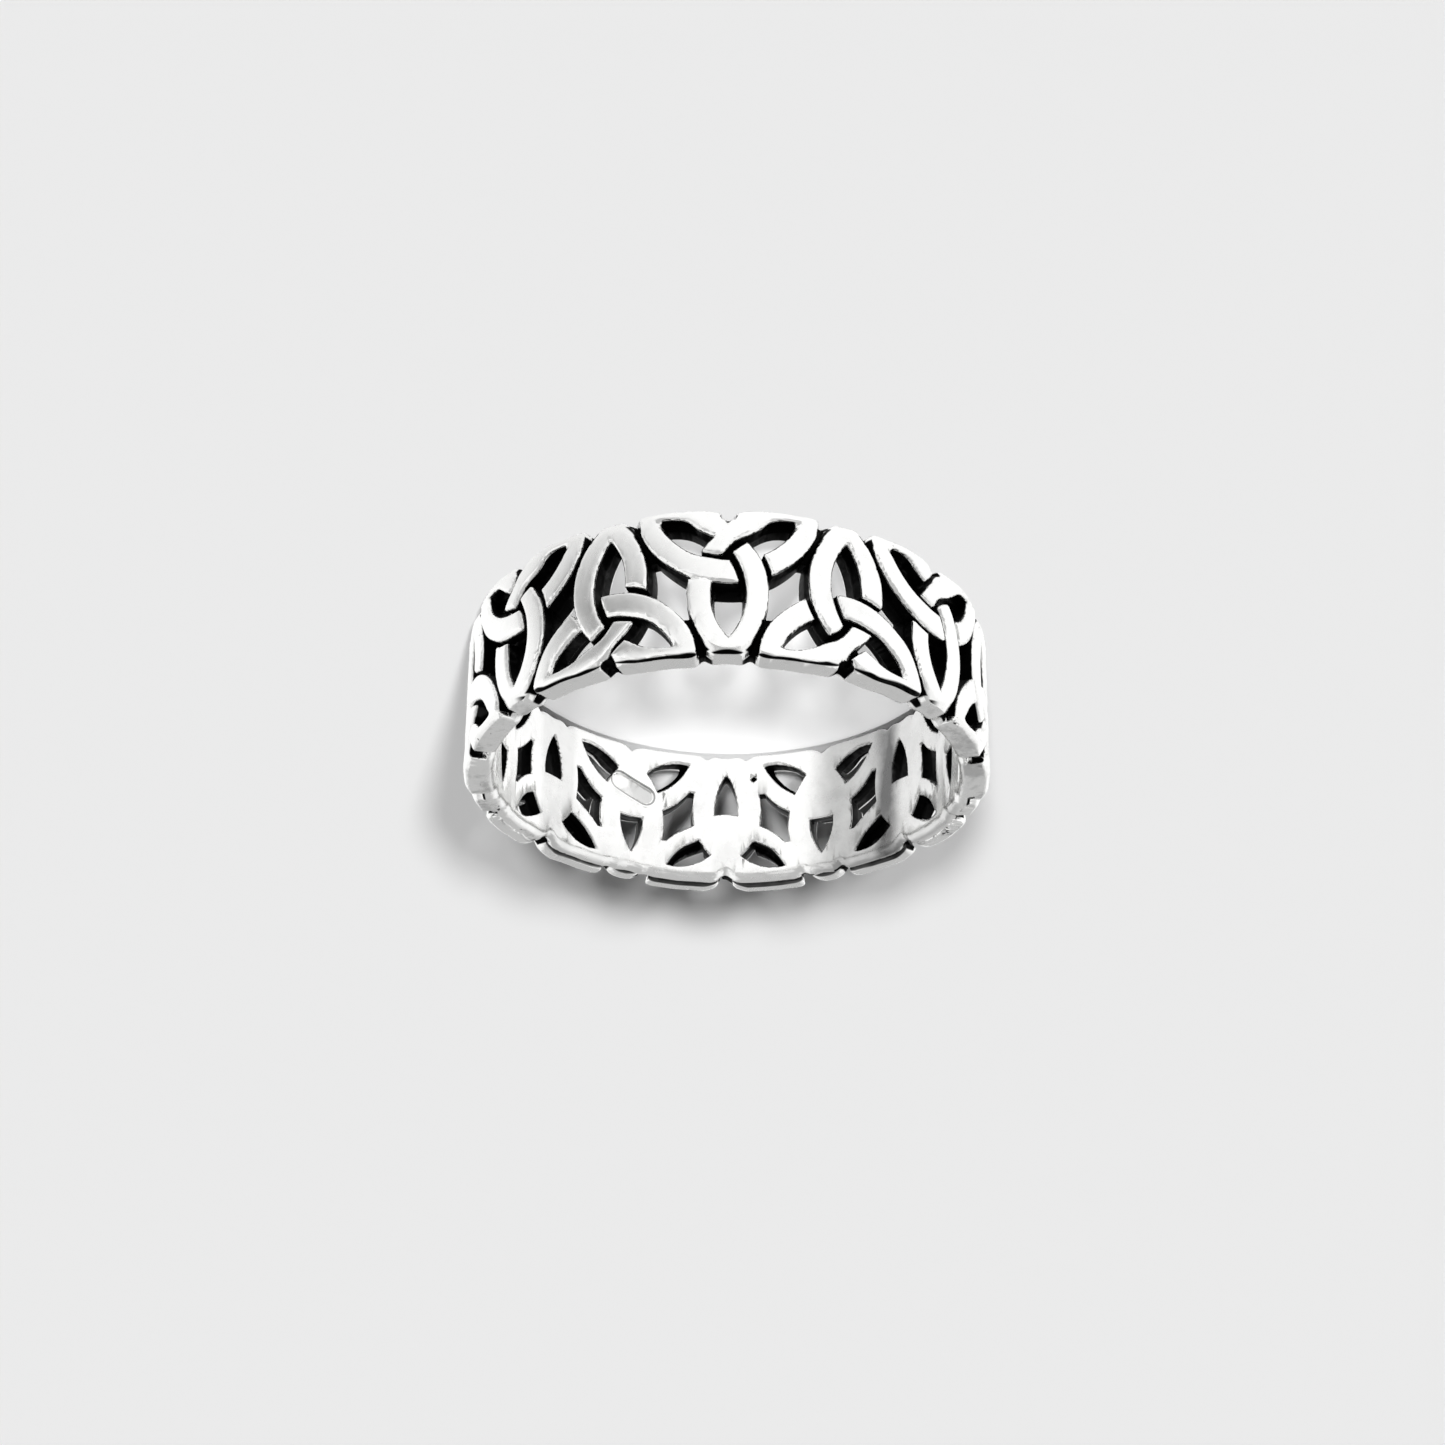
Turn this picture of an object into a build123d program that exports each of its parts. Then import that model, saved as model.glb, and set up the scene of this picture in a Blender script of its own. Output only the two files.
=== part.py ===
"""Pierced silver band ring, lying on its side: a closed row of woven knots, every second one turned over."""

import os
from math import degrees, pi

from build123d import *

# Finger size and metal thickness, millimetres
finger_diameter = 18.2
wall = 1.2
relief = 0.55
knot_pairs = 7

# Cuts between strands, millimetres, and the draft of the pierced openings, degrees
crossing_gap = 0.22
casting_draft = 4.5

# Shares of one knot's pitch round the outside of the band
strand_share = 0.19
slot_share = 0.25
foot_share = 0.757
notch_share = 0.567
opening_share = 0.29
groove_share = 0.577
overlap_share = 0.1
join_share = 0.06
lobe_share = 0.33
base_share = 0.42
groove_inset = 0.1

# Blank stamp pressed into the bore, millimetres and degrees
stamp_length = 2.1
stamp_width = 0.85
stamp_depth = 0.08
stamp_heading = 22
stamp_share = -0.223
stamp_knot = 6

# How far each cut starts outside the metal, millimetres, and how deep the through cuts go, in walls
clearance = 0.1
through_walls = 1.5

inner_radius = finger_diameter / 2
outer_radius = inner_radius + wall
floor_radius = outer_radius - relief
through_depth = through_walls * wall
pitch = pi * outer_radius / knot_pairs
knot_angle = 180 / knot_pairs

# Edges of the arch and of the strand that climbs right from its left foot: circles in shares of the pitch
EDGES = {
    # edge: (across, up, radius)
    "arch_outer": (0, -0.7745, 0.7767),
    "arch_inner": (0, -0.8420, 0.6337),
    "foot_outer": (-0.4513, 0.2393, 0.9321),
    "foot_inner": (-0.5212, -0.0299, 0.5439),
    "leg_outer": (-0.3775, 0.0939, 0.7161),
    "leg_inner": (-0.5467, 0.0857, 0.6887),
    "head": (0, 0.3462, 0.2878),
}

# Where one strand passes over another, in shares of the pitch
CROSSINGS = (
    # across, up, heading of the upper strand in degrees
    (0, -0.433, 49),
    (0.180, -0.136, -22),
    (-0.190, -0.130, 105),
)


def edge(name, side=1):
    """Disc inside one strand edge; side -1 gives the mirrored strand's."""
    across, up, radius = EDGES[name]
    return Pos(side * across * pitch, up * pitch) * Circle(radius * pitch)


def window(left, right, low=-1, high=1):
    """Rectangle between four lines given in shares of the pitch."""
    middle = Pos((left + right) / 2 * pitch, (low + high) / 2 * pitch)
    return middle * Rectangle((right - left) * pitch, (high - low) * pitch)


def knot_outline():
    """Filled outline of one knot standing on its two feet."""
    feet = (edge("foot_outer") + edge("foot_outer", -1)) & edge("arch_outer")
    feet = feet & window(-foot_share, foot_share)
    legs = edge("leg_outer") & edge("leg_outer", -1)
    top = edge("head") + window(-1, 1, -1, EDGES["head"][1])
    return feet + (legs & top)


def beside_knots():
    """What lies outside the metal from the middle of a standing knot to the middle of the next one."""
    middle = Pos(pitch / 2, 0)
    next_outline = middle * Rot(0, 0, 180) * middle.inverse() * knot_outline()
    return window(-overlap_share, 1 + overlap_share) - knot_outline() - next_outline


def crossing_slots():
    """Narrow bars on both sides of each upper strand, where the lower strand dives under it."""
    slots = Sketch()
    offset = (strand_share * pitch + crossing_gap) / 2
    for across, up, heading in CROSSINGS:
        for side in (1, -1):
            bar = Pos(0, side * offset) * Rectangle(slot_share * pitch, crossing_gap)
            slots += Pos(across * pitch, up * pitch) * Rot(0, 0, heading) * bar
    return slots


def sleeve(inner, outer, height):
    return Pos(0, 0, -height / 2) * extrude(Circle(outer) - Circle(inner), height)


def press(sketch, across, depth, draft=0):
    """Cut pushed towards the finger at its own place round the band, from just outside it."""
    face = Plane((0, -outer_radius - clearance, 0), x_dir=(1, 0, 0), z_dir=(0, -1, 0))
    tool = extrude(face * Pos(-across * pitch, 0) * sketch, -depth - clearance, taper=draft)
    return tool.rotate(Axis.Z, degrees(across * pitch / outer_radius))


def knot_cuts():
    """The three lobes of a standing knot, cut through, and the slots of its crossings down to the floor."""
    lobes = (
        # sketch, middle across in shares of the pitch
        (edge("foot_inner") & edge("arch_inner") - edge("leg_outer", -1), -lobe_share),
        (edge("foot_inner", -1) & edge("arch_inner") - edge("leg_outer"), lobe_share),
        (edge("leg_inner") & edge("leg_inner", -1) - edge("arch_outer"), 0),
    )
    cuts = [press(sketch, across, through_depth, casting_draft) for sketch, across in lobes]
    cuts.append(press(crossing_slots(), 0, wall) & grooved_layer)
    return cuts


def side_cuts():
    """The opening, the grooves and the wavy rims between a standing knot and the next one round."""
    beside = beside_knots()
    inside = foot_share - join_share
    outside = foot_share + join_share
    through = (
        # window, middle across in shares of the pitch, draft
        (window(-1, 2, -opening_share, opening_share), 0.5, casting_draft),
        (window(-1, outside, -1, -notch_share), base_share, 0),
        (window(inside, 2, -1, -notch_share), 1, 0),
        (window(1 - outside, 2, notch_share, 1), 1 - base_share, 0),
        (window(-1, 1 - inside, notch_share, 1), 0, 0),
    )
    cuts = [press(beside & part, across, through_depth, draft) for part, across, draft in through]
    grooves = window(groove_inset, 1 - groove_inset, -groove_share, groove_share)
    cuts.append(press(beside & grooves, 0.5, wall) & grooved_layer)
    return cuts


def stamp():
    """Blank oval pressed into the bore, with no mark in it."""
    face = Plane((0, -inner_radius, stamp_share * pitch), x_dir=(1, 0, 0), z_dir=(0, -1, 0))
    oval = extrude(face * Rot(0, 0, stamp_heading) * SlotOverall(stamp_length, stamp_width), wall, both=True)
    dent = oval & sleeve(inner_radius - wall, inner_radius + stamp_depth, pitch)
    return dent.rotate(Axis.Z, stamp_knot * knot_angle)


grooved_layer = sleeve(floor_radius, outer_radius + wall, 2 * pitch)

# One standing knot, the next one turned over, and what lies on both sides of the standing one
one = knot_cuts()
sides = side_cuts()
pair = one + [cut.rotate(Axis.Y, 180).rotate(Axis.Z, knot_angle) for cut in one]
pair += sides + [mirror(cut, Plane.YZ) for cut in sides]
solids = [solid for cut in pair for solid in cut.solids()]
pair_cut = solids[0].fuse(*solids[1:]).solids()

blank = sleeve(inner_radius, outer_radius, 2 * notch_share * pitch + wall)
cuts = [cut.rotate(Axis.Z, 2 * index * knot_angle) for index in range(knot_pairs) for cut in pair_cut]
band = blank.cut(*cuts, stamp())
band = band.solids().sort_by(SortBy.VOLUME)[-1]
band = Pos(0, 0, -band.bounding_box().min.Z) * band
band.label = "knot_band"

os.makedirs("parts", exist_ok=True)
export_step(band, "parts/knot_band.step")
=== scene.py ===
from math import atan, cos, pi, radians, sin, tan

import bpy
import numpy as np
from mathutils import Matrix, Vector


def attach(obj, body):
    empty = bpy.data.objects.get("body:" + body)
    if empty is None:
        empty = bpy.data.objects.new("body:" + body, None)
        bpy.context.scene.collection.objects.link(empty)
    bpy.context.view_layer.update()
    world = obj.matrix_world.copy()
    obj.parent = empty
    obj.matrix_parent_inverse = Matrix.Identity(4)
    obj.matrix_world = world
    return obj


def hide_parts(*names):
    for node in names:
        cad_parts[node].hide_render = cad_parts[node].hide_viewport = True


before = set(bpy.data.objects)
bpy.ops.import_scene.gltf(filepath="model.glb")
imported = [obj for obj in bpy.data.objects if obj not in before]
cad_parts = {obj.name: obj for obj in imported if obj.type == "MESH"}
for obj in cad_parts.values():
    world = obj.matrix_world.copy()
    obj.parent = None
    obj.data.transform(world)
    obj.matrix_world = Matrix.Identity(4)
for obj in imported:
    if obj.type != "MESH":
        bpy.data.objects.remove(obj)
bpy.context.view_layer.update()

MM = 0.001

# The band is drawn unrolled: x round it, measured at its outside, z up from its middle, r out from its axis
# x is 0 nearest to the viewer and grows towards the picture's left; near and far are sides of the upper rim

# Sizes of the ring, millimetres
inner_radius = 9.1
outer_radius = 10.3
floor_radius = 9.75
half_width = 3.2025
rim_margin = 0.004
knot_pairs = 7
pitch = pi * outer_radius / knot_pairs
foot_end = 3.5
opening_height = 1.34
crossing_gap = 0.23
hole_draft = tan(radians(4.5))
wall_draft = tan(radians(5))
lobe_growth = 0.28
arch_ledge = 0.2

# Edges of the strands as circles, millimetres
EDGES = {
    # edge: (across, up, radius)
    "arch_outer": (0, -3.58, 3.59),
    "arch_inner": (0, -3.892, 2.929),
    "foot_outer": (-2.086, 1.106, 4.308),
    "foot_inner": (-2.409, -0.138, 2.514),
    "leg_outer": (-1.745, 0.434, 3.31),
    "leg_inner": (-2.527, 0.396, 3.183),
    "head": (0, 1.6, 1.33),
}

# Where a knot's strands cross, and how far round a crossing the lower one is cut, millimetres
BOTTOM, RIGHT, LEFT = (0.0, -2.0), (0.83, -0.63), (-0.88, -0.6)
crossing_reach = 1.35

# Places where the lower strand wasn't cut clear of the upper one: across, up, reach
MERGED = (
    (0.3, -2.5, 0.55),
    (5.95, 1.13, 0.4),
    (0.96, 0.05, 0.3),
)
merge_slope = 0.5
merged_gap = -0.03

# Radii of rounded edges and of filled corners in the unrolled outlines, millimetres
strand_round = 0.02
foot_round = 0.08
tip_round = 0.12
head_round = 0.1
dive_round = 0.05
weave_round = 0.03
hole_corner = 0.06
rim_round = 0.05

# Radii of rounded edges and of filled corners across the wall, and what they gain towards the rims, millimetres
top_round = 0.13
top_round_gain = 0.17
bore_round = 0.09
bore_round_gain = 0.1
floor_fillet = 0.06
floor_fillet_loss = 0.03
root_round = 0.02
root_round_gain = 0.2
floor_round = 0.05
floor_round_gain = 0.17
hole_round = 0.03
slot_round = 0.03
groove_round = 0.01
near_round = 0.36
far_round = 0.42

# Strands: depth at which their roots begin, reach into the band, crown, and how far they swell at the feet
root_depth = 0.3
root_reach = 0.15
crown_height = 0.03
crown_reach = 0.45
foot_bulge = 0.25

# Rims: the far one is worn lower than the near one, its feet stand proud and its floor lies deeper
near_wear = 0.07
far_wear = 0.16
far_step = -0.1
far_floor_drop = 0.14
head_step = (0.3, 0.45)

# Fine groove along the near rim, millimetres
groove_radius = 10.19
groove_half = 0.1
groove_fade = 0.045

# Dips in the rims: depth and reach, millimetres
base_notch = (0.16, 0.22)
base_notch_gain = 0.1
tip_notch = (0.2, 0.25)
tip_notch_loss = 0.12
tip_notch_across = 3.68
base_sink = (0.1, 0.5)
head_sink = (0.11, 0.6)

# Slots under the middle of a knot's base, open to the rim
slot_squeeze = 0.7
slot_up = 2.93
slot_half = 0.22
slot_radius = 9.42
slot_lean = 0.4

# Where forms come in: start of the rise and its length, in millimetres or in shares of the turn from the viewer
outer_swap = (-0.45, 0.9)
inner_swap = (-1.1, 1.0)
upper_half = (0, 1.5)
far_part = (0, 0.8)
back_part = (-0.4, 0.8)
left_part = (0, 0.2)
side_part = (0.72, 0.1)
split_part = (0.55, 0.4)
rim_zone = (2.3, 0.45)
bulge_zone = (2.2, 0.6)

# Unevenness: seeds, sizes in millimetres, and shares of the gap's width and of the stamp's depth
sway_seed, lift_seed, gap_seed, top_seed, bore_seed, stamp_seed = 3, 4, 5, 6, 7, 11
sway = 0.03
lift = 0.02
gap_change = 0.25
top_unevenness = 0.012
bore_unevenness = 0.006
stamp_change = 0.25
wave_count = 7
fewest_waves, most_waves = 5, 46
steepest_wave = 1.9
wave_total = 4.2

# Blank oval pressed into the bore, millimetres and radians
stamp_across = 6 * pitch
stamp_up = -1.03
stamp_turn = radians(22)
stamp_straight = 0.625
stamp_radius = 0.425
stamp_depth = 0.07
stamp_wall = 0.16
stamp_inset = 0.1
lip_past = 0.04
lip = (0.025, 0.07)

# Casting pits in the bore and in the far rim, millimetres
pit_across = 7.28 * pitch
pit_up = -1.97
pit_depth = 0.3
pit_reach = 0.17
rim_pit_across = 6.13 * pitch
rim_pit_radius = 9.9
rim_pit_half = 0.12
rim_pit_up = 2.55

# Painted shade in the bore: darker stretches standing in for dimmer reflections, in pitches round the band:
# start, end, length of each fade, and how dark
BORE_SHADE_STRETCHES = (
    (7.8, 8.85, 0.35, 0.2, 0.55),
    (8.6, 9.9, 0.2, 0.3, 0.3),
    (4.75, 5.25, 0.1, 0.1, 0.16),
)
# Painted shade in the bore: a darker streak standing in for a dim reflection, its place in pitches round the
# band and its lean, how dark and how wide, and how far out from the bore the painted shade reaches, millimetres
shade_streak_across = 8.8
shade_streak_lean = 0.04
shade_streak = (0.25, 0.09)
bore_shade_depth = (0.25, 0.2)
left_fade = 0.3

# Grid of the first mesh and its margins round the metal, millimetres, and the triangles kept
grid_step = 0.06
depth_step = 0.055
margin_up = 0.15
margin_in = 0.1
margin_out = 0.12
settle_times = 2
longest_move = 0.02
slope_step = 0.002
least_slope = 0.05
triangles = 190000


def disc(x, z, name, side=1):
    """Distance outside one of the circles; side -1 gives the mirrored strand's."""
    across, up, radius = EDGES[name]
    return np.hypot(x - side * across, z - up) - radius


def both(a, b, k):
    """Intersection with its edge rounded to radius k."""
    return np.minimum(-k, np.maximum(a, b)) + np.hypot(np.maximum(a + k, 0), np.maximum(b + k, 0))


def either(a, b, k):
    """Union with its inner corner filled to radius k."""
    return np.maximum(k, np.minimum(a, b)) - np.hypot(np.maximum(k - a, 0), np.maximum(k - b, 0))


def rise(value, start, length):
    """Smooth step from 0 to 1."""
    t = np.clip((value - start) / length, 0, 1)
    return t * t * (3 - 2 * t)


def bump(x, height, reach):
    """Bell curve."""
    return height * np.exp(-(x / reach) ** 2)


def ripple(x, z, seed):
    """Smooth unevenness between -1 and 1 that closes round the band."""
    turns = np.random.default_rng(seed)
    total = 0
    for _ in range(wave_count):
        round_waves = int(turns.integers(fewest_waves, most_waves))
        up_waves = turns.uniform(-steepest_wave, steepest_wave)
        total = total + np.sin(x * round_waves / outer_radius + z * up_waves + turns.uniform(0, 2 * pi))
    return total / wave_total


def leg(x, z, side):
    """Strand that starts at one foot, climbs to the other side and ends at the head."""
    outward = rise(side * x, *outer_swap)
    inward = rise(side * x, *inner_swap)
    outer = disc(x, z, "foot_outer", side) * (1 - outward) + disc(x, z, "leg_outer", side) * outward
    inner = disc(x, z, "foot_inner", side) * (1 - inward) + disc(x, z, "leg_inner", side) * inward
    return both(outer, -inner, strand_round)


def outline(x, z):
    """Filled outline of a knot standing on its feet."""
    feet = np.minimum(disc(x, z, "foot_outer"), disc(x, z, "foot_outer", -1))
    feet = both(feet, disc(x, z, "arch_outer"), foot_round)
    feet = both(feet, np.abs(x) - foot_end, tip_round)
    legs = both(disc(x, z, "leg_outer"), disc(x, z, "leg_outer", -1), strand_round)
    top = np.minimum(disc(x, z, "head"), z - EDGES["head"][1])
    legs = both(legs, top, head_round)
    return either(feet, legs, foot_round)


def over(lower, upper, x, z, crossing, gap):
    """Lower strand, cut where the upper one passes over it."""
    near = np.hypot(x - crossing[0], z - crossing[1]) - crossing_reach
    return both(lower, -np.maximum(upper - gap, near), dive_round)


def strands(x, z, gap):
    """Raised strands of a knot, woven."""
    arch = both(disc(x, z, "arch_outer"), -disc(x, z, "arch_inner"), strand_round)
    right = leg(x, z, 1)
    left = leg(x, z, -1)
    low_left = over(left, right, x, z, BOTTOM, gap)
    low_right = over(right, arch, x, z, RIGHT, gap)
    low_arch = over(arch, left, x, z, LEFT, gap)
    woven = either(either(low_left, low_right, weave_round), low_arch, weave_round)
    return both(woven, outline(x, z), weave_round)


def lobes(x, z, deep):
    """The three openings inside a knot's loops; towards the bore those of the feet grow under the arch."""
    arch = disc(x, z, "arch_inner") - lobe_growth * deep
    left = both(disc(x, z, "foot_inner"), arch, hole_corner)
    left = both(left, -disc(x, z, "leg_outer", -1), hole_corner)
    right = both(disc(x, z, "foot_inner", -1), arch, hole_corner)
    right = both(right, -disc(x, z, "leg_outer"), hole_corner)
    over_arch = -disc(x, z, "arch_outer") + arch_ledge * deep
    top = both(disc(x, z, "leg_inner"), disc(x, z, "leg_inner", -1), hole_corner)
    top = both(top, over_arch, hole_corner)
    return np.minimum(np.minimum(left, right), top)


def foot_slot(x, z):
    """Distance outside the slot under the middle of a knot's base."""
    return np.hypot(x * slot_squeeze, z + slot_up) - slot_half


def rim_dips(x, far, left):
    """Depth of the notches in the rim at the middle of a standing knot's base and beside its feet's tips."""
    x = np.abs(x)
    middle = bump(x, base_notch[0] + base_notch_gain * far, base_notch[1] + base_notch_gain * far)
    return middle + bump(x - tip_notch_across, tip_notch[0] - tip_notch_loss * left, tip_notch[1])


def rim_height(x):
    """Half width of the band under a standing knot's feet and the next knots' heads."""
    x = np.abs(x)
    return half_width - bump(x, *base_sink) - bump(x - pitch, *head_sink)


def around(x, middle):
    """How far round the band from a place, the short way, measured at the bore."""
    turn = 2 * pi * outer_radius
    return ((x - middle + turn / 2) % turn - turn / 2) * inner_radius / outer_radius


def gap_beside(x, z):
    """Width of the gap cut beside an upper strand; it closes where the strands are merged."""
    gap = crossing_gap * (1 + gap_change * ripple(x, z, gap_seed))
    for across, up, reach in MERGED:
        away = np.hypot(around(x, across), z - up)
        gap = np.minimum(gap, merge_slope * (away - reach))
    return np.maximum(gap, merged_gap)


def layers(x, z):
    """Outlines of the unrolled band's layers, as distances outside them, and where its forms come in."""
    facing = np.cos(x / outer_radius)
    upper = rise(z, *upper_half)
    beyond = np.abs(z) - half_width + rim_margin
    far = rise(-facing, *far_part) * upper
    back = rise(-facing, *back_part) * upper
    left = far * rise(np.sin(x / outer_radius), *left_part)

    x = x + sway * ripple(x, z, sway_seed)
    z = z * (1 + far_wear * far) + lift * ripple(x, z, lift_seed)
    gap = gap_beside(x, z)
    share = x / pitch
    even = x - 2 * pitch * np.round(share / 2)
    odd = x - pitch * (2 * np.round((share - 1) / 2) + 1)

    def pair(shape, z, *more):
        """A shape of the standing knots and of those turned over."""
        return np.minimum(shape(even, z, *more), shape(-odd, -z, *more))

    upper = rise(z, *upper_half)
    worn = rise(np.abs(np.sin(x / outer_radius)), *side_part)
    lowered = near_wear * (1 - far) * upper
    edge = np.maximum(z + lowered - rim_height(odd), -z - rim_height(even))
    edge = np.maximum(edge, beyond)
    rim = edge + np.where(z > 0, rim_dips(odd, far, left), rim_dips(even, 0, 0))
    step = far * (far_step + bump(odd, *head_step))
    bulge = np.sign(z) * foot_bulge * rise(np.abs(z), *bulge_zone)
    return {
        "raised": both(pair(strands, z - bulge * far, gap), rim + step, rim_round),
        "root": both(pair(strands, z - bulge, gap), rim + step, rim_round),
        "between": both(-pair(outline, z), np.abs(z) - opening_height, hole_corner),
        "shallow": pair(lobes, z, 0),
        "deep": pair(lobes, z, 1),
        "slots": pair(foot_slot, z),
        "edge": edge,
        "rim": rim,
        "beyond": beyond,
        "outer": rise(np.abs(z), *rim_zone),
        "worn": worn,
        "lined": upper * (1 - worn) * (1 - far),
        "far": far,
        "back": back,
        "left": left,
    }


def past_stamp(x, z):
    """Distance outside the blank oval's outline."""
    across = around(x, stamp_across)
    up = z - stamp_up
    along = across * cos(stamp_turn) + up * sin(stamp_turn)
    beside = up * cos(stamp_turn) - across * sin(stamp_turn)
    return np.hypot(np.maximum(np.abs(along) - stamp_straight, 0), beside) - stamp_radius


def bore_marks(x, z):
    """Depth of the blank oval and of the casting pit pressed into the bore."""
    past = past_stamp(x, z)
    pressed = rise(stamp_inset - past / stamp_wall, 0, 1)
    floor = stamp_depth * (1 + stamp_change * ripple(x, z, stamp_seed)) * pressed
    pit = np.hypot(around(x, pit_across), z - pit_up)
    return floor - bump(past - lip_past, *lip) + pit_depth * rise(1 - pit / pit_reach, 0, 1)


def rim_pit(x, r):
    """Distance outside a casting pit in the far rim."""
    return np.hypot(around(x, rim_pit_across), r - rim_pit_radius) - rim_pit_half


def metal(x, z, r):
    """Signed distance to the ring's surface, millimetres, in the unrolled band: across, up and radius."""
    at = layers(x, z)
    rim = at["rim"]
    outer = at["outer"]
    depth = outer_radius - r
    split = outer * rise(at["far"], *split_part)
    floor = floor_radius - far_floor_drop * at["far"] * split

    # strands
    crown = crown_height * np.clip(1 + at["raised"] / crown_reach, 0, 1) ** 2
    top = -depth + crown + top_unevenness * (1 + ripple(x, z, top_seed))
    lower = rise(depth, 0, root_depth)
    side = at["raised"] * (1 - lower) + at["root"] * lower - wall_draft * depth
    strand = both(side, top, top_round + top_round_gain * outer * (1 - at["lined"]))
    root = floor - root_reach * (1 - split) - r
    strand = both(strand, root, root_round + root_round_gain * split)

    # band with its openings and its bore
    below = rise(depth, 0, outer_radius - inner_radius)
    holes = at["shallow"] * (1 - below) + at["deep"] * below
    holes = np.minimum(holes, at["between"]) + hole_draft * depth
    bore = inner_radius - r + bore_unevenness * (1 + ripple(x, z, bore_seed)) + bore_marks(x, z)
    band = both(rim, -holes, hole_round)
    band = both(band, r - floor, floor_round + floor_round_gain * split)
    band = both(band, bore, bore_round + bore_round_gain * outer)
    band = np.maximum(band, both(rim, bore, near_round + (far_round - near_round) * at["back"]))

    # slots, pit and groove in the rims
    solid = either(strand, band, floor_fillet - floor_fillet_loss * outer)
    solid = np.maximum(solid, rim + far_step * at["far"])
    slot = np.maximum(at["slots"], slot_radius + slot_lean * np.abs(rim) - r)
    slot = np.minimum(slot, np.maximum(rim_pit(x, r), rim_pit_up - z))
    groove = np.hypot(r - groove_radius, rim) - groove_half * at["lined"] + groove_fade
    solid = both(both(solid, -slot, slot_round), -groove, groove_round)
    return np.maximum(solid, at["beyond"])


def skin(f):
    """Quads between the cells where the distance changes sign; the first axis closes on itself."""
    nx, nz, nr = f.shape
    cells = (nx, nz - 1, nr - 1)
    full = np.concatenate([f, f[:1]])
    inside = full < 0
    total = np.zeros((3, *cells))
    count = np.zeros(cells)
    crossings = []
    for axis in range(3):
        low = [slice(None)] * 3
        high = [slice(None)] * 3
        low[axis] = slice(None, -1)
        high[axis] = slice(1, None)
        a = full[tuple(low)]
        b = full[tuple(high)]
        from_inside = inside[tuple(low)]
        change = from_inside != inside[tuple(high)]
        share = np.where(change, a / np.where(change, a - b, 1), 0)
        crossings.append((change, from_inside))
        others = [n for n in range(3) if n != axis]
        for shifts in ((0, 0), (0, 1), (1, 0), (1, 1)):
            cut = [slice(None)] * 3
            for n, shift in zip(others, shifts):
                cut[n] = slice(shift, shift + cells[n])
            hit = change[tuple(cut)]
            total[axis] += share[tuple(cut)]
            for n, shift in zip(others, shifts):
                total[n] += shift * hit
            count += hit
    used = count > 0
    number = np.full(cells, -1)
    number[used] = np.arange(used.sum())
    corner = np.array(np.nonzero(used), float)
    points = corner + total[:, used] / count[used]

    quads = []
    for axis, (change, from_inside) in enumerate(crossings):
        second = (axis + 1) % 3
        third = (axis + 2) % 3
        where = np.array(np.nonzero(change))
        keep = where[0] < nx
        for n in (1, 2):
            if n != axis:
                keep &= (where[n] > 0) & (where[n] < cells[n])
        where = where[:, keep]
        loop = []
        for step_second, step_third in ((-1, -1), (0, -1), (0, 0), (-1, 0)):
            place = where.copy()
            place[second] += step_second
            place[third] += step_third
            place[0] %= nx
            loop.append(number[tuple(place)])
        loop = np.array(loop).T
        quads.append(np.where(from_inside[tuple(where)][:, None], loop, loop[:, ::-1]))
    return points.T, np.concatenate(quads)


def slope(p):
    """Gradient of the distance at each point of the unrolled band."""
    parts = []
    for n in range(3):
        d = np.zeros(3)
        d[n] = slope_step
        parts.append((metal(*(p + d).T) - metal(*(p - d).T)) / (2 * slope_step))
    return np.array(parts).T


def settle(p, limit):
    """Moves the points onto the surface, each time no farther than the limit."""
    for _ in range(settle_times):
        g = slope(p)
        move = -metal(*p.T)[:, None] * g / np.maximum((g * g).sum(1), least_slope)[:, None]
        length = np.maximum(np.linalg.norm(move, axis=1), 1e-9)
        p = p + move * np.minimum(1, limit / length)[:, None]
    return p


def wrap(p):
    """Unrolled place to metres round the finger axis."""
    angle = p[:, 0] / outer_radius
    return np.stack([p[:, 2] * np.sin(angle), -p[:, 2] * np.cos(angle), p[:, 1] + half_width], 1) * MM


def unwrap(q):
    """Metres round the finger axis to unrolled place."""
    q = q / MM
    across = np.arctan2(q[:, 0], -q[:, 1]) * outer_radius
    return np.stack([across, q[:, 2] - half_width, np.hypot(q[:, 0], q[:, 1])], 1)


def coordinates(mesh):
    co = np.zeros(len(mesh.vertices) * 3)
    mesh.vertices.foreach_get("co", co)
    return co.reshape(-1, 3)


def normals(p):
    """Directions out of the surface, in the scene, at points of the unrolled band."""
    g = slope(p)
    angle = p[:, 0] / outer_radius
    side = g[:, 0] * outer_radius / p[:, 2]
    to_right = side * np.cos(angle) + g[:, 2] * np.sin(angle)
    to_back = side * np.sin(angle) - g[:, 2] * np.cos(angle)
    normal = np.stack([to_right, to_back, g[:, 1]], 1)
    return normal / np.linalg.norm(normal, axis=1)[:, None]


def painted_bore_shade(p):
    """How dark the painted shade makes the bore at each point, standing in for dimmer reflections."""
    across = (p[:, 0] / pitch) % (2 * knot_pairs)
    bore_shade = bump(across - shade_streak_across + shade_streak_lean * p[:, 1], *shade_streak)
    for start, end, fade_in, fade_out, amount in BORE_SHADE_STRETCHES:
        bore_shade = bore_shade + amount * rise(across, start, fade_in) * (1 - rise(across, end, fade_out))
    return bore_shade * (1 - rise(p[:, 2] - inner_radius, *bore_shade_depth))


def paint_values(p):
    """Smooth values that the paint reads at each point."""
    at = layers(p[:, 0], p[:, 1])
    return {
        "inset": -at["edge"],
        "slot": np.minimum(at["slots"] + left_fade * at["left"], rim_pit(p[:, 0], p[:, 2])),
        "gap": np.clip(at["root"], -1, 1) - left_fade * at["left"],
        "worn": at["worn"],
        "far": at["far"],
        "lined": at["lined"],
        # painted shade in the bore, standing in for dimmer reflections
        "bore_shade": painted_bore_shade(p),
        "mark": np.clip(past_stamp(p[:, 0], p[:, 1]), -1, 1),
    }


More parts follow.
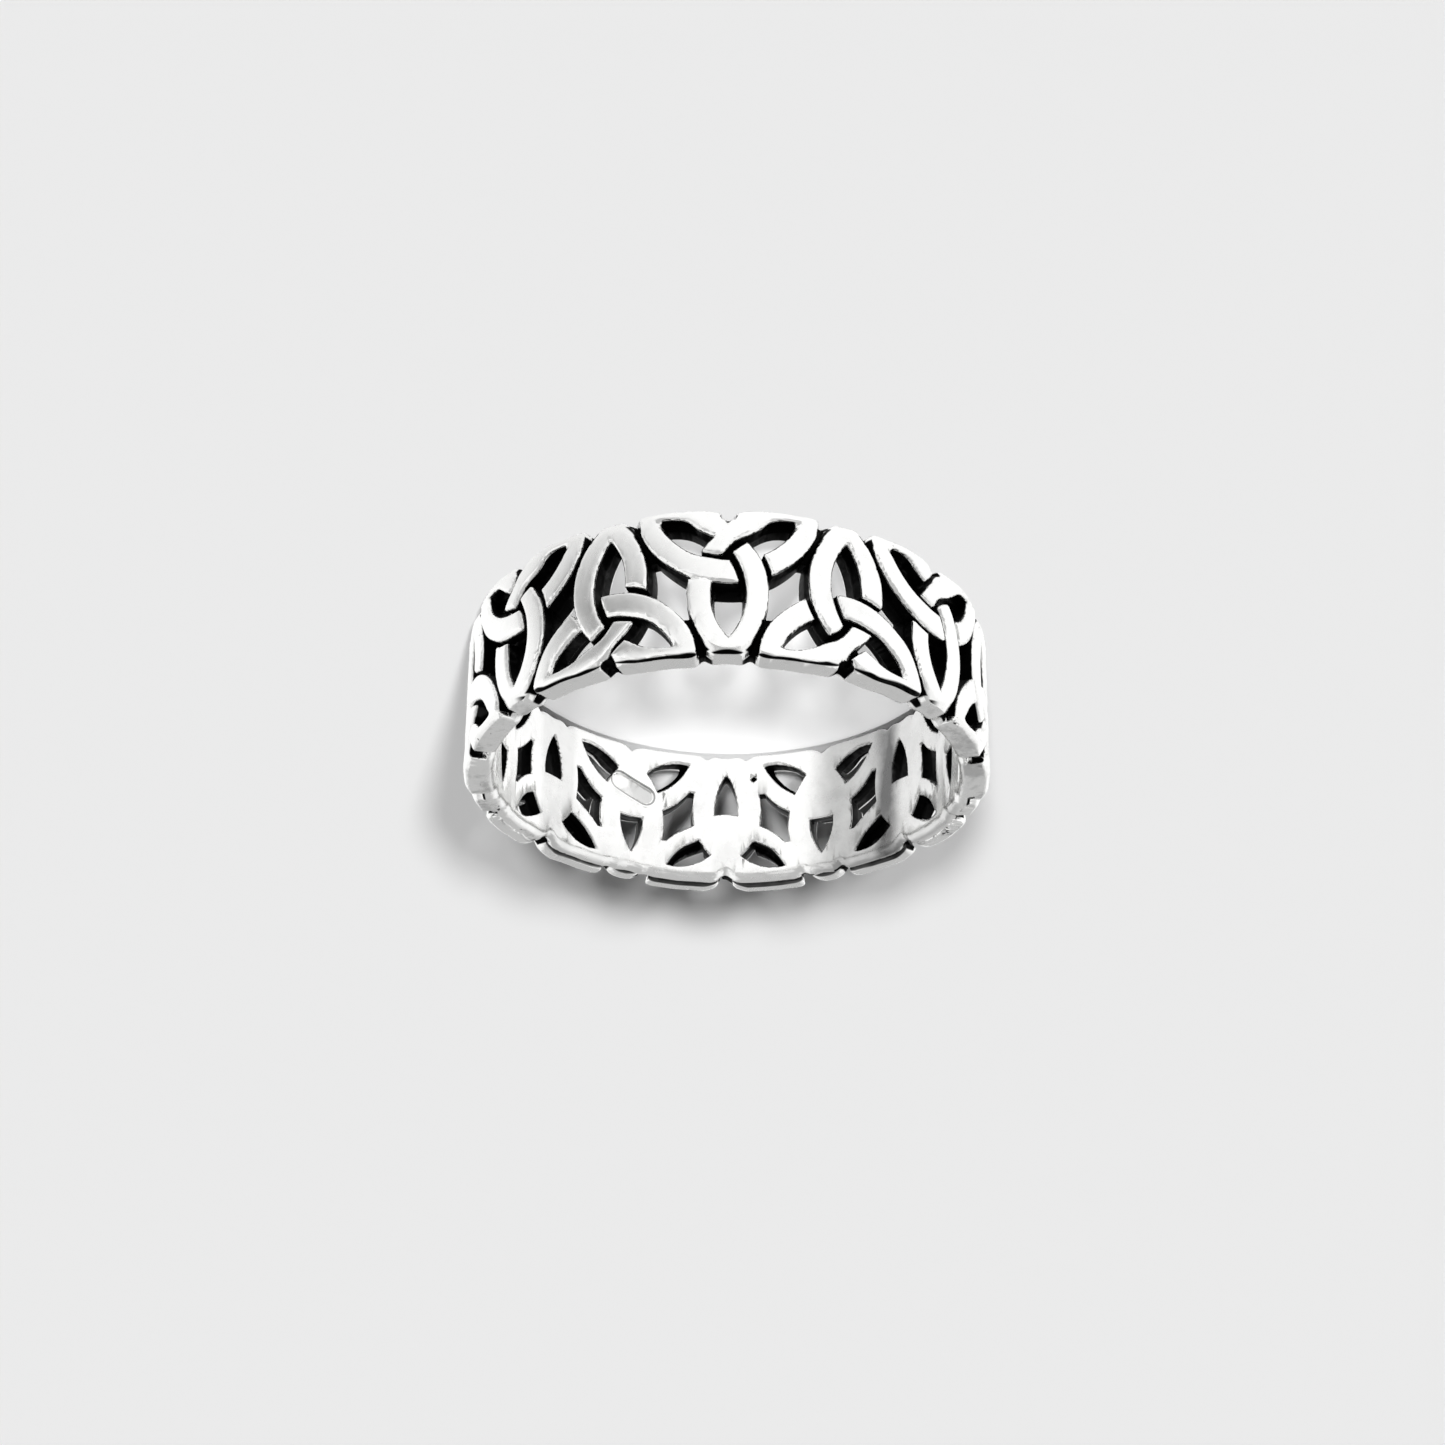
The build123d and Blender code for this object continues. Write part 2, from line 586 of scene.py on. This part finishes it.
def first_mesh():
    """Fine mesh of the whole ring."""
    across = round(2 * pi * outer_radius / grid_step)
    step = 2 * pi * outer_radius / across
    xs = np.arange(across) * step
    zs = np.arange(-half_width - margin_up, half_width + margin_up, grid_step)
    rs = np.arange(inner_radius - margin_in, outer_radius + margin_out, depth_step)
    f = metal(xs[:, None, None], zs[None, :, None], rs[None, None, :])
    points, quads = skin(f)
    points = points * (step, grid_step, depth_step) + (0, zs[0], rs[0])
    points = settle(points, grid_step / 3)
    mesh = bpy.data.meshes.new("knot_ring")
    mesh.from_pydata(wrap(points).tolist(), [], quads.tolist())
    return mesh


def make_ring():
    """The ring's mesh with the triangles kept, its normals and the values for its paint."""
    mesh = first_mesh()
    ring = bpy.data.objects.new("knot_ring", mesh)
    scene.collection.objects.link(ring)
    thin = ring.modifiers.new("thin", "DECIMATE")
    thin.ratio = min(1, triangles / (2 * len(mesh.polygons)))
    shown = ring.evaluated_get(bpy.context.evaluated_depsgraph_get())
    done = bpy.data.meshes.new_from_object(shown)
    ring.modifiers.clear()
    ring.data = done
    bpy.data.meshes.remove(mesh)
    p = settle(unwrap(coordinates(done)), longest_move)
    done.vertices.foreach_set("co", wrap(p).ravel())
    done.update()
    done.normals_split_custom_set_from_vertices(normals(p).tolist())
    for name, value in paint_values(p).items():
        field = done.attributes.new(name, "FLOAT", "POINT")
        field.data.foreach_set("value", value)
    for polygon in done.polygons:
        polygon.use_smooth = True
    return ring


class Nodes:
    """Short ways to build a node tree."""

    def __init__(self, tree):
        self.tree = tree

    def new(self, kind):
        return self.tree.nodes.new("ShaderNode" + kind)

    def put(self, value, socket):
        if isinstance(value, bpy.types.NodeSocket):
            self.tree.links.new(value, socket)
        else:
            socket.default_value = value

    def math(self, operation, *values):
        node = self.new("Math")
        node.operation = operation
        for value, socket in zip(values, node.inputs):
            self.put(value, socket)
        return node.outputs[0]

    def plus(self, first, second):
        return self.math("ADD", first, second)

    def less(self, first, second):
        return self.math("SUBTRACT", first, second)

    def size(self, value):
        return self.math("ABSOLUTE", value)

    def times(self, first, *others):
        for other in others:
            first = self.math("MULTIPLY", first, other)
        return first

    def most(self, first, *others):
        for other in others:
            first = self.math("MAXIMUM", first, other)
        return first

    def step(self, value, low, high, start=0, end=1):
        """Soft step from start at low to end at high."""
        node = self.new("MapRange")
        node.interpolation_type = "SMOOTHSTEP"
        self.put(value, node.inputs["Value"])
        self.put(low, node.inputs["From Min"])
        self.put(high, node.inputs["From Max"])
        node.inputs["To Min"].default_value = start
        node.inputs["To Max"].default_value = end
        return node.outputs["Result"]

    def fall(self, value, low, high):
        """Soft step from 1 at low to 0 at high."""
        return self.less(1.0, self.step(value, low, high))

    def scale(self, value, low, high):
        """Takes 0.3 to 0.7 of a noise to low and high."""
        node = self.new("MapRange")
        self.put(value, node.inputs["Value"])
        node.inputs["From Min"].default_value = 0.3
        node.inputs["From Max"].default_value = 0.7
        node.inputs["To Min"].default_value = low
        node.inputs["To Max"].default_value = high
        return node.outputs["Result"]

    def noise(self, vector, scale, detail, roughness):
        node = self.new("TexNoise")
        self.put(vector, node.inputs["Vector"])
        node.inputs["Scale"].default_value = scale
        node.inputs["Detail"].default_value = detail
        node.inputs["Roughness"].default_value = roughness
        return node.outputs["Fac"]

    def position(self):
        return self.new("NewGeometry").outputs["Position"]

    def seen_in_metal(self):
        """1 for the rays that a polished surface sends out."""
        return self.new("LightPath").outputs["Is Glossy Ray"]

    def attribute(self, name):
        node = self.new("Attribute")
        node.attribute_name = name
        return node.outputs["Fac"]

    def vector(self, operation, value, other):
        node = self.new("VectorMath")
        node.operation = operation
        self.put(value, node.inputs[0])
        node.inputs[1].default_value = other
        return node

    def mix(self, factor, first, second, kind="RGBA"):
        node = self.new("Mix")
        node.data_type = kind
        self.put(factor, node.inputs["Factor"])
        sockets = (6, 7, 2) if kind == "RGBA" else (2, 3, 0)
        self.put(first, node.inputs[sockets[0]])
        self.put(second, node.inputs[sockets[1]])
        return node.outputs[sockets[2]]


def material(name):
    """New material, the short ways into its nodes, and its main shader."""
    m = bpy.data.materials.new(name)
    m.use_nodes = True
    return m, Nodes(m.node_tree), m.node_tree.nodes["Principled BSDF"]


# Noises in the silver: scale, detail, roughness
GRAIN = (2500, 4, 0.5)
PATCHES = (420, 3, 0.5)
WEAR = (900, 5, 0.6)
BROAD = (220, 2, 0.5)
PITS = (1500, 3, 0.6)
STAINS = (500, 5, 0.65)

# Colours of the silver and of the oxide
POLISHED = (0.93, 0.93, 0.92, 1)
POLISHED_MORE = (0.98, 0.98, 0.97, 1)
GRAIN_GREY = (0.6, 0.6, 0.6, 1)
# Grey of the rubbed stains and the oval's marks, also used for painted shade in the bore
TARNISH_AND_PAINTED_SHADE = (0.16, 0.16, 0.16, 1)
OXIDE = (0.002, 0.002, 0.002, 1)
OXIDE_RUBBED = (0.035, 0.035, 0.035, 1)
polished_roughness = (0.16, 0.34)
oxide_roughness = 0.6

# How far polishing reaches down from the outside, in from the rims and out from the bore, millimetres
polish_down = (0.13, 0.2)
polish_down_edge = (-0.015, 0.03)
polish_in = (0.2, 0.3)
polish_in_edge = (-0.02, 0.04)
polish_out = (inner_radius + 0.08, inner_radius + 0.11)
polish_out_rim = (0.4, 0.55)
polish_out_gain = 0.35

# Dark crevice under the far rim's feet: its radius, half width and edges, and where it shows
crevice_radius = (9.75, 9.8)
crevice_drop = 0.18
crevice_half = (0.05, 0.12)
crevice_edge = (-0.03, 0.03)
crevice_patches = (0.8, 1.0)
crevice_inset = (-0.14, -0.1)
crevice_far = (0.7, 0.92)

# Dark line in the near rim's groove
line_radius = groove_radius - 0.01
line_half = (0.03, 0.09)
line_edge = (-0.01, 0.02)
line_inset = (0.12, 0.18)
line_part = (0.3, 0.8)

# Dark gaps and slots where they reach the rims, and the radius down to which they are dark
dark_radius = (9.3, 9.45)
dark_radius_gain = 0.25
dark_radius_edge = (-0.02, 0.03)
dark_slot = (0.0, 0.03)
dark_gap = (0.05, 0.1)

# Pits and stains where the rims are rubbed flat
rubbed_inset = (0.03, 0.1)
pit_share = (0.63, 0.67)
pit_dark = 0.9
stain_share = (0.48, 0.62)
stain_dark = 0.4

# Painted shade in the bore, standing in for dimmer reflections, outline of the blank oval, and what the press
# left uneven in it
bore_shade_change = (0.88, 1.12)
outline_half = (0.02, 0.055)
outline_dark = 0.75
blotch_inset = (-0.05, -0.12)
blotch_share = (0.5, 0.56)
blotch_dark = 0.35
mark_depth = (inner_radius + 0.15, inner_radius + 0.2)

# Grain and rubbed oxide
grain_share = (0.5, 0.72)
grain_dark = 0.12
rubbed_share = (0.58, 0.72)


def oxide_places(n, at, below):
    """Where oxide stays between the strands, in the crevice and groove of the rims, and in gaps and slots."""
    radius, inset = at["radius"], at["inset"]
    rim = n.times(n.fall(inset, *polish_out_rim), polish_out_gain)
    above = n.step(n.less(radius, rim), *polish_out)
    inside = n.step(n.less(inset, n.scale(at["wear"], *polish_in)), *polish_in_edge)
    between = n.times(below, above, inside)

    middle = n.less(n.scale(at["patches"], *crevice_radius), n.times(at["far"], crevice_drop))
    away = n.less(n.size(n.less(radius, middle)), n.scale(at["broad"], *crevice_half))
    crevice = n.times(n.fall(away, *crevice_edge), n.scale(at["patches"], *crevice_patches))
    crevice = n.times(n.step(inset, *crevice_inset), n.step(at["far"], *crevice_far), crevice)

    away = n.less(n.size(n.less(radius, line_radius)), n.scale(at["broad"], *line_half))
    line = n.times(n.fall(away, *line_edge), n.fall(inset, *line_inset))
    line = n.times(line, n.step(at["lined"], *line_part))

    reached = n.plus(n.scale(at["broad"], *dark_radius), n.times(at["worn"], dark_radius_gain))
    hollow = n.most(n.fall(at["slot"], *dark_slot), n.step(at["gap"], *dark_gap))
    hollow = n.times(hollow, n.step(n.less(radius, reached), *dark_radius_edge), below)
    return n.most(between, crevice, line, hollow)


def oval_marks(n, at):
    """How dark the blank oval's outline and its uneven floor are."""
    outlined = n.fall(n.size(at["mark"]), *outline_half)
    blotch = n.times(n.step(at["mark"], *blotch_inset), n.step(at["patches"], *blotch_share))
    scar = n.most(n.times(outlined, outline_dark), n.times(blotch, blotch_dark))
    return n.times(scar, n.fall(at["radius"], *mark_depth))


def silver():
    """Cast silver: bright where it is polished, black oxide where polishing doesn't reach, painted shade in the
    bore.
    """
    m, n, bright = material("oxidised_silver")
    bright.inputs["Metallic"].default_value = 1.0
    position = n.position()
    flat = n.vector("MULTIPLY", position, (1, 1, 0)).outputs["Vector"]
    radius = n.times(n.vector("LENGTH", flat, (0, 0, 0)).outputs["Value"], 1 / MM)
    patches = n.noise(position, *PATCHES)
    wear = n.noise(position, *WEAR)
    at = {"radius": radius, "patches": patches, "wear": wear, "broad": n.noise(position, *BROAD)}
    for name in ("inset", "slot", "gap", "worn", "far", "lined", "bore_shade", "mark"):
        at[name] = n.attribute(name)

    depth = n.less(outer_radius, radius)
    below = n.step(n.less(depth, n.scale(wear, *polish_down)), *polish_down_edge)
    oxide = oxide_places(n, at, below)

    rubbed = n.times(n.fall(at["inset"], *rubbed_inset), at["worn"])
    pits = n.times(rubbed, n.step(n.noise(position, *PITS), *pit_share), pit_dark)
    stain = n.times(n.step(n.noise(position, *STAINS), *stain_share), stain_dark, rubbed)
    oxide = n.most(oxide, pits)

    colour = n.mix(n.scale(patches, 0, 1), POLISHED, POLISHED_MORE)
    grain = n.times(n.step(n.noise(position, *GRAIN), *grain_share), grain_dark)
    colour = n.mix(grain, colour, GRAIN_GREY)
    # Rubbed stains, the oval's marks and painted shade in the bore darken the silver towards one grey
    stains_and_painted_shade = n.most(stain, n.times(at["bore_shade"], n.scale(wear, *bore_shade_change)), oval_marks(n, at))
    colour = n.mix(stains_and_painted_shade, colour, TARNISH_AND_PAINTED_SHADE)
    black = n.mix(n.step(wear, *rubbed_share), OXIDE, OXIDE_RUBBED)
    n.put(n.mix(oxide, colour, black), bright.inputs["Base Color"])
    roughness = n.mix(oxide, n.scale(wear, *polished_roughness), oxide_roughness, "FLOAT")
    n.put(roughness, bright.inputs["Roughness"])
    return m


scene = bpy.context.scene
scene.view_settings.view_transform = "Standard"

# Camera: its axes, its place from the ring's middle, and its lens
ring_centre = Vector((0, 0, half_width * MM))
camera_back = Vector((-0.00204, -0.87622, 0.48191))
camera_right = Vector((-0.99995, -0.00292, -0.00953))
camera_up = Vector((0.00976, -0.48191, -0.87617))
camera_distance = 126.185 * MM
aim_right = -0.182 * MM
aim_up = -0.257 * MM
sensor_width = 36
lens_per_sensor = 2.20628

camera_data = bpy.data.cameras.new("camera")
camera_data.sensor_width = sensor_width
camera_data.lens = sensor_width * lens_per_sensor
camera_data.clip_start = 5 * MM
camera_data.clip_end = 10
camera = bpy.data.objects.new("camera", camera_data)
scene.collection.objects.link(camera)
place = ring_centre + camera_back * camera_distance + camera_right * aim_right + camera_up * aim_up
turn = Matrix((camera_right, camera_up, camera_back)).transposed().to_4x4()
camera.matrix_world = Matrix.Translation(place) @ turn
scene.camera = camera

# Floor: half its side in metres, its painted glow as the metal sees it, and the spot round which that glow is
# painted dimmer, millimetres
floor_half = 1.5
floor_grey = 0.82
seen_floor = 1.25
seen_share = 0.7
dim_middle = (11, -14, 0)
dim_reach = 12
dim_depth = 0.9


def floor_paint():
    """Pale matt paper; the metal sees it glow brighter, a painted glow, and dimmer towards one side, a painted
    darker reflection.
    """
    m, n, paper = material("floor_paint")
    paper.inputs["Base Color"].default_value = (floor_grey, floor_grey, floor_grey, 1)
    paper.inputs["Roughness"].default_value = 1.0
    paper.inputs["Specular IOR Level"].default_value = 0.0
    away = n.vector("DISTANCE", n.position(), Vector(dim_middle) * MM).outputs["Value"]
    # Painted glow: the floor gives off light in the metal's reflections, dimmed round one spot as a painted
    # darker reflection
    glow = n.new("Emission")
    level = n.step(away, 0, dim_reach * MM, seen_floor * (1 - dim_depth), seen_floor)
    n.put(level, glow.inputs["Strength"])
    mix = n.new("MixShader")
    n.put(n.times(n.seen_in_metal(), seen_share), mix.inputs["Fac"])
    n.put(paper.outputs[0], mix.inputs[1])
    n.put(glow.outputs[0], mix.inputs[2])
    n.put(mix.outputs[0], n.tree.nodes["Material Output"].inputs["Surface"])
    return m


corners = [(-floor_half, -floor_half, 0), (floor_half, -floor_half, 0)]
corners += [(floor_half, floor_half, 0), (-floor_half, floor_half, 0)]
floor_mesh = bpy.data.meshes.new("floor")
floor_mesh.from_pydata(corners, [], [(0, 1, 2, 3)])
floor_mesh.materials.append(floor_paint())
floor = bpy.data.objects.new("floor", floor_mesh)
scene.collection.objects.link(floor)

ring = make_ring()
ring.data.materials.append(silver())
ring.visible_diffuse = False
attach(ring, "root")
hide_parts("knot_band")

# Suns that light the floor alone: degrees above it, from the viewer's side towards -X, and across the sun
SUNS = (
    # name, elevation, azimuth, softness, strength
    ("key", 34, 0, 8, 0.68),
    ("low", 20.5, 11, 6, 3.86),
    ("low_too", 20.5, -4, 6, 3.86),
)
for name, elevation, azimuth, softness, strength in SUNS:
    data = bpy.data.lights.new(name, "SUN")
    data.angle = radians(softness)
    data.energy = strength
    light = bpy.data.objects.new(name, data)
    e, a = radians(elevation), radians(azimuth)
    towards = Vector((-cos(e) * sin(a), -cos(e) * cos(a), sin(e)))
    light.rotation_euler = towards.to_track_quat("Z", "Y").to_euler()
    light.visible_glossy = False
    scene.collection.objects.link(light)

# Light that the polished bore throws down on the floor inside the ring
glow_height = 150 * MM
glow_radius = 9.6 * MM
glow_strength = 1.95
data = bpy.data.lights.new("bore_glow", "SPOT")
data.energy = glow_strength * 4 * pi * glow_height ** 2
data.spot_size = 2 * atan(glow_radius / glow_height)
data.spot_blend = 0.1
data.shadow_soft_size = 0.5 * MM
light = bpy.data.objects.new("bore_glow", data)
light.location = (0, 0, glow_height)
light.visible_glossy = False
scene.collection.objects.link(light)

# World: faint light on the floor; the metal sees a brighter one, and brighter still towards both sides
world_light = 0.03
seen_world = 0.51
seen_sides = 0.5
side_share = (0.3, 0.8)

world = bpy.data.worlds.new("studio")
world.use_nodes = True
n = Nodes(world.node_tree)
direction = n.new("SeparateXYZ")
n.put(n.new("TexCoord").outputs["Generated"], direction.inputs["Vector"])
sides = n.step(n.size(direction.outputs["X"]), *side_share)
shade = n.plus(n.times(sides, seen_sides), seen_world)
background = n.tree.nodes["Background"]
background.inputs["Color"].default_value = (1, 1, 1, 1)
n.put(n.mix(n.seen_in_metal(), world_light, shade, "FLOAT"), background.inputs["Strength"])
scene.world = world
